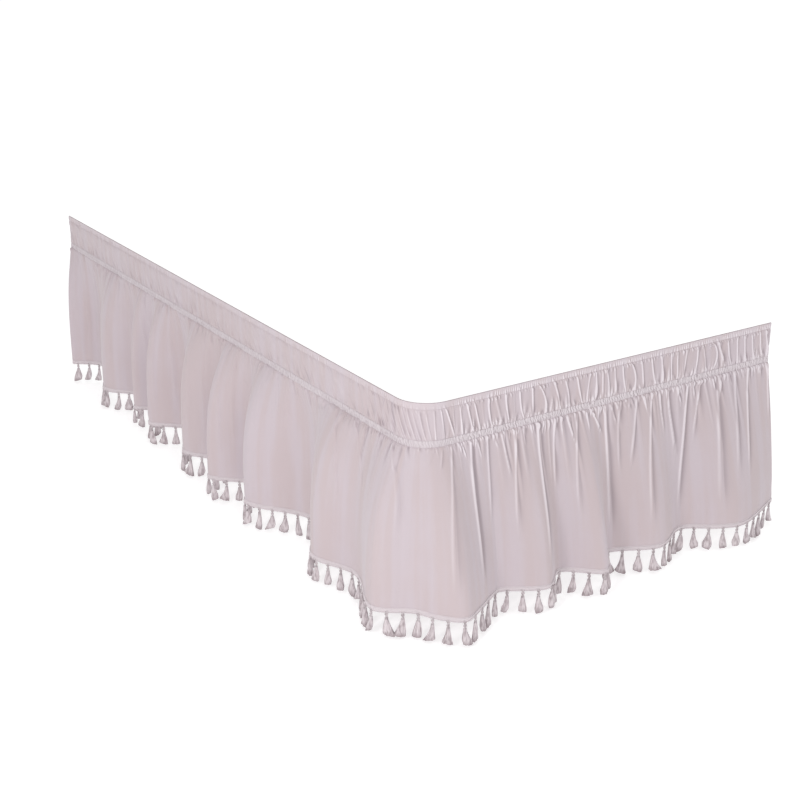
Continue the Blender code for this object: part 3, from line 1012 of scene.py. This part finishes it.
# Linear colours: the cloth, its two streaks, its painted crest highlight and trough shade; then
# each yarn and its painted shade in grooves.
CLOTH_COLOUR = (0.565, 0.487, 0.512, 1)
CLOTH_WARM = (0.557, 0.470, 0.486, 1)
CLOTH_COOL = (0.575, 0.502, 0.538, 1)
CLOTH_PAINTED_HIGHLIGHT = (0.800, 0.745, 0.780, 1)
CLOTH_PAINTED_SHADE = (0.335, 0.275, 0.300, 1)
ELASTIC_COLOUR = (0.720, 0.660, 0.690, 1)
ELASTIC_PAINTED_SHADE = (0.400, 0.330, 0.355, 1)
BRAID_COLOUR = (0.750, 0.685, 0.710, 1)
BRAID_SHADE = (0.580, 0.505, 0.530, 1)
TRIM_COLOUR = (0.690, 0.622, 0.644, 1)
TRIM_SHADE = (0.285, 0.225, 0.240, 1)

# Spacing of the cloth's threads, the elastic's ribs and rubber threads, and the yarn's twist.
WEAVE = 0.0009
ELASTIC_RIBS = 0.0016
RUBBER_THREADS = 0.0019
YARN_TWIST = 0.0016

YARN = {"Roughness": 0.9, "Sheen_Weight": 0.2, "Sheen_Roughness": 0.5, "Specular_IOR_Level": 0.2}


def cloth_finish():
    """Brushed cloth: fine weave, faint slubs, two-tone streaks, painted highlights and shade."""
    finish = Finish("brushed_cloth", Roughness=0.85, Sheen_Weight=0.25, Sheen_Roughness=0.45,
                    Specular_IOR_Level=0.25)
    (along, up), uv = finish.flat()
    place = finish.place()
    streaks = finish.noise(uv, (34.0, 1.6, 1.0))
    tone = finish.ramp(streaks * 0.65 + finish.noise(place, 6.0, 3.0) * 0.35, 0.38, 0.62)
    colour = finish.mixed(tone, CLOTH_WARM, CLOTH_COOL)
    slubs = finish.noise(uv, (420.0, 60.0, 1.0), 3.0, 0.6)
    colour = finish.mixed(finish.ramp(slubs, 0.52, 0.80) * 0.35, colour, CLOTH_COLOUR)
    tint_with_painted_light = finish.tint_with_painted_light()
    # Painted highlight on crests and rising flanks, painted shade on falling flanks and troughs.
    colour = finish.mixed(finish.ramp(tint_with_painted_light, 0.05, 1.0) * 0.85, colour, CLOTH_PAINTED_HIGHLIGHT)
    colour = finish.mixed(finish.ramp(tint_with_painted_light * -1.0, 0.05, 1.0) * 0.7, colour, CLOTH_PAINTED_SHADE)
    weave = along.wave(WEAVE) * up.wave(WEAVE) * 0.5 + slubs * 0.9
    normal = finish.bump(weave, 0.00012, 0.6)
    return finish.connect(Base_Color=colour, Roughness=slubs * 0.12 + 0.78, Normal=normal)


def elastic_finish():
    """Ribbed elastic: fine upright ribs crossed by rubber threads, paler than the cloth."""
    finish = Finish("ribbed_elastic", Roughness=0.8, Sheen_Weight=0.15, Sheen_Roughness=0.5,
                    Specular_IOR_Level=0.25)
    (along, up), uv = finish.flat()
    fuzz = finish.noise(uv, (500.0, 220.0, 1.0), 3.0, 0.6)
    relief = along.wave(ELASTIC_RIBS) * 0.4 + up.wave(RUBBER_THREADS) * 0.3 + fuzz * 0.8
    # Painted shade in the ribs' grooves and dips, painted highlight on their crests.
    shade = finish.ramp(relief * 0.25 + finish.tint_with_painted_light(), -1.0, 1.0)
    colour = finish.mixed(shade, ELASTIC_PAINTED_SHADE, ELASTIC_COLOUR)
    normal = finish.bump(relief, 0.00022, 0.7)
    return finish.connect(Base_Color=colour, Normal=normal)


def braid_finish():
    """Plaited yarn: a twist that runs aslant round each strand, painted shade between its turns.
    """
    finish = Finish("plaited_yarn", **YARN)
    (along, turn), uv = finish.flat()
    twist = (along + turn * YARN_TWIST).wave(YARN_TWIST)
    fuzz = finish.noise(uv, (700.0, 9.0, 1.0), 3.0, 0.6)
    relief = twist * 0.5 + fuzz
    # Painted shade between the twist's turns.
    colour = finish.mixed(finish.ramp(relief, -0.1, 0.9), BRAID_SHADE, BRAID_COLOUR)
    normal = finish.bump(relief, 0.0002, 0.7)
    return finish.connect(Base_Color=colour, Normal=normal)


def tassel_finish():
    """Cut yarn: fine threads down the tassel in uneven locks, painted shade in the grooves
    between.

    Painted shade deepens over the last 15 mm, to the cut ends.
    """
    finish = Finish("cut_yarn", **YARN)
    (turn, up), uv = finish.flat()
    threads = finish.noise(uv, (46.0, 60.0, 1.0), 4.0, 0.65)
    strands = turn.wave(1 / 22) * 0.25 + threads
    locks = finish.noise(finish.place(), (190.0, 190.0, 57.0), 1.0)
    # Painted shade in the grooves between strands, mixed with the locks' random tone.
    shade = finish.ramp(strands * 0.45 + locks, 0.33, 0.88)
    colour = finish.mixed(shade, TRIM_SHADE, TRIM_COLOUR)
    # Painted shade over the last 15 mm, down to the cut ends.
    ends = finish.ramp(up * -1.0 + threads * 0.012, 0.046, 0.061)
    colour = finish.mixed(ends * 0.75, colour, TRIM_SHADE)
    normal = finish.bump(strands, 0.0005, 0.8)
    return finish.connect(Base_Color=colour, Normal=normal)


# ------------ room


def floor():
    """A plain pale floor, just under the tassels."""
    mesh = bpy.data.meshes.new("floor")
    corners = [(x, y, FLOOR_HEIGHT) for x, y in ((-40, -40), (40, -40), (40, 40), (-40, 40))]
    mesh.from_pydata(corners, [], [range(4)])
    finish = Finish("pale_floor", Roughness=0.9, Base_Color=(0.70, 0.70, 0.70, 1),
                    Specular_IOR_Level=0.0, Emission_Color=(1, 1, 1, 1), Emission_Strength=0.50)
    mesh.materials.append(finish.material)
    ground = added("floor", mesh)


def lamp(name, kind, power, turn, **settings):
    """A soft light that shines along its own -Z; the camera doesn't see it."""
    light = bpy.data.lights.new(name, kind)
    light.energy = power
    for setting, value in settings.items():
        setattr(light, setting, value)
    shade = added(name, light)
    shade.rotation_euler = turn
    shade.visible_camera = False
    return shade


def studio():
    """Even white surroundings, a square key light on the left and a far fill on the foot."""
    world = bpy.data.worlds.new("studio")
    world.use_nodes = True
    background = world.node_tree.nodes["Background"]
    background.inputs["Color"].default_value = (1.0, 1.0, 1.0, 1)
    background.inputs["Strength"].default_value = 0.70
    bpy.context.scene.world = world
    towards = (Vector(KEY_TARGET) - Vector(KEY_PLACE)).to_track_quat("-Z", "Y").to_euler()
    lamp("key", "AREA", 16.0, towards, size=0.5).location = KEY_PLACE
    lamp("fill", "SUN", 0.42, FILL_TURN, angle=math.radians(40))
    bpy.context.scene.view_settings.view_transform = "Standard"


def camera():
    """The photograph's viewpoint, worked out from the straight edges and the drop."""
    lens = bpy.data.cameras.new("camera")
    lens.lens = CAMERA_LENS
    lens.sensor_width = 36.0
    lens.clip_end = 100.0
    view = added("camera", lens)
    view.location = CAMERA_PLACE
    view.rotation_euler = (CAMERA_PITCH, 0, CAMERA_HEADING)
    bpy.context.scene.camera = view


def main():
    """Sets up the room, makes every piece, and hides the model's own parts."""
    camera()
    studio()
    floor()
    cloth, elastic = cloth_finish(), elastic_finish()
    braid, yarn = braid_finish(), tassel_finish()

    elastic_run = run_columns(0.0013, 0.00085)
    upper = strip(
        "upper_casing", elastic_run, UPPER_ELASTIC, 0.0003, 0.30, casing_profile, casing_relief,
        cloth)
    lower = strip(
        "ribbed_elastic", elastic_run, RIBBED, 0.0011, 0.10, elastic_profile, elastic_relief,
        elastic)
    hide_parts("upper_elastic")
    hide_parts("lower_elastic")

    for trim in (hem_strip(braid), hem_braid(braid), braid_loops(braid), tassels(yarn)):
        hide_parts("tassel_trim")

    band = band_cloth(cloth)
    falls = fall_cloth(cloth)
    side_length = float(np.interp(FALL_CUT, HEM.runs, HEM.places))
    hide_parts("skirt_cloth")
    for fall, length in zip(falls, (side_length, HEM.length - side_length)):
        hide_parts("skirt_cloth")


main()
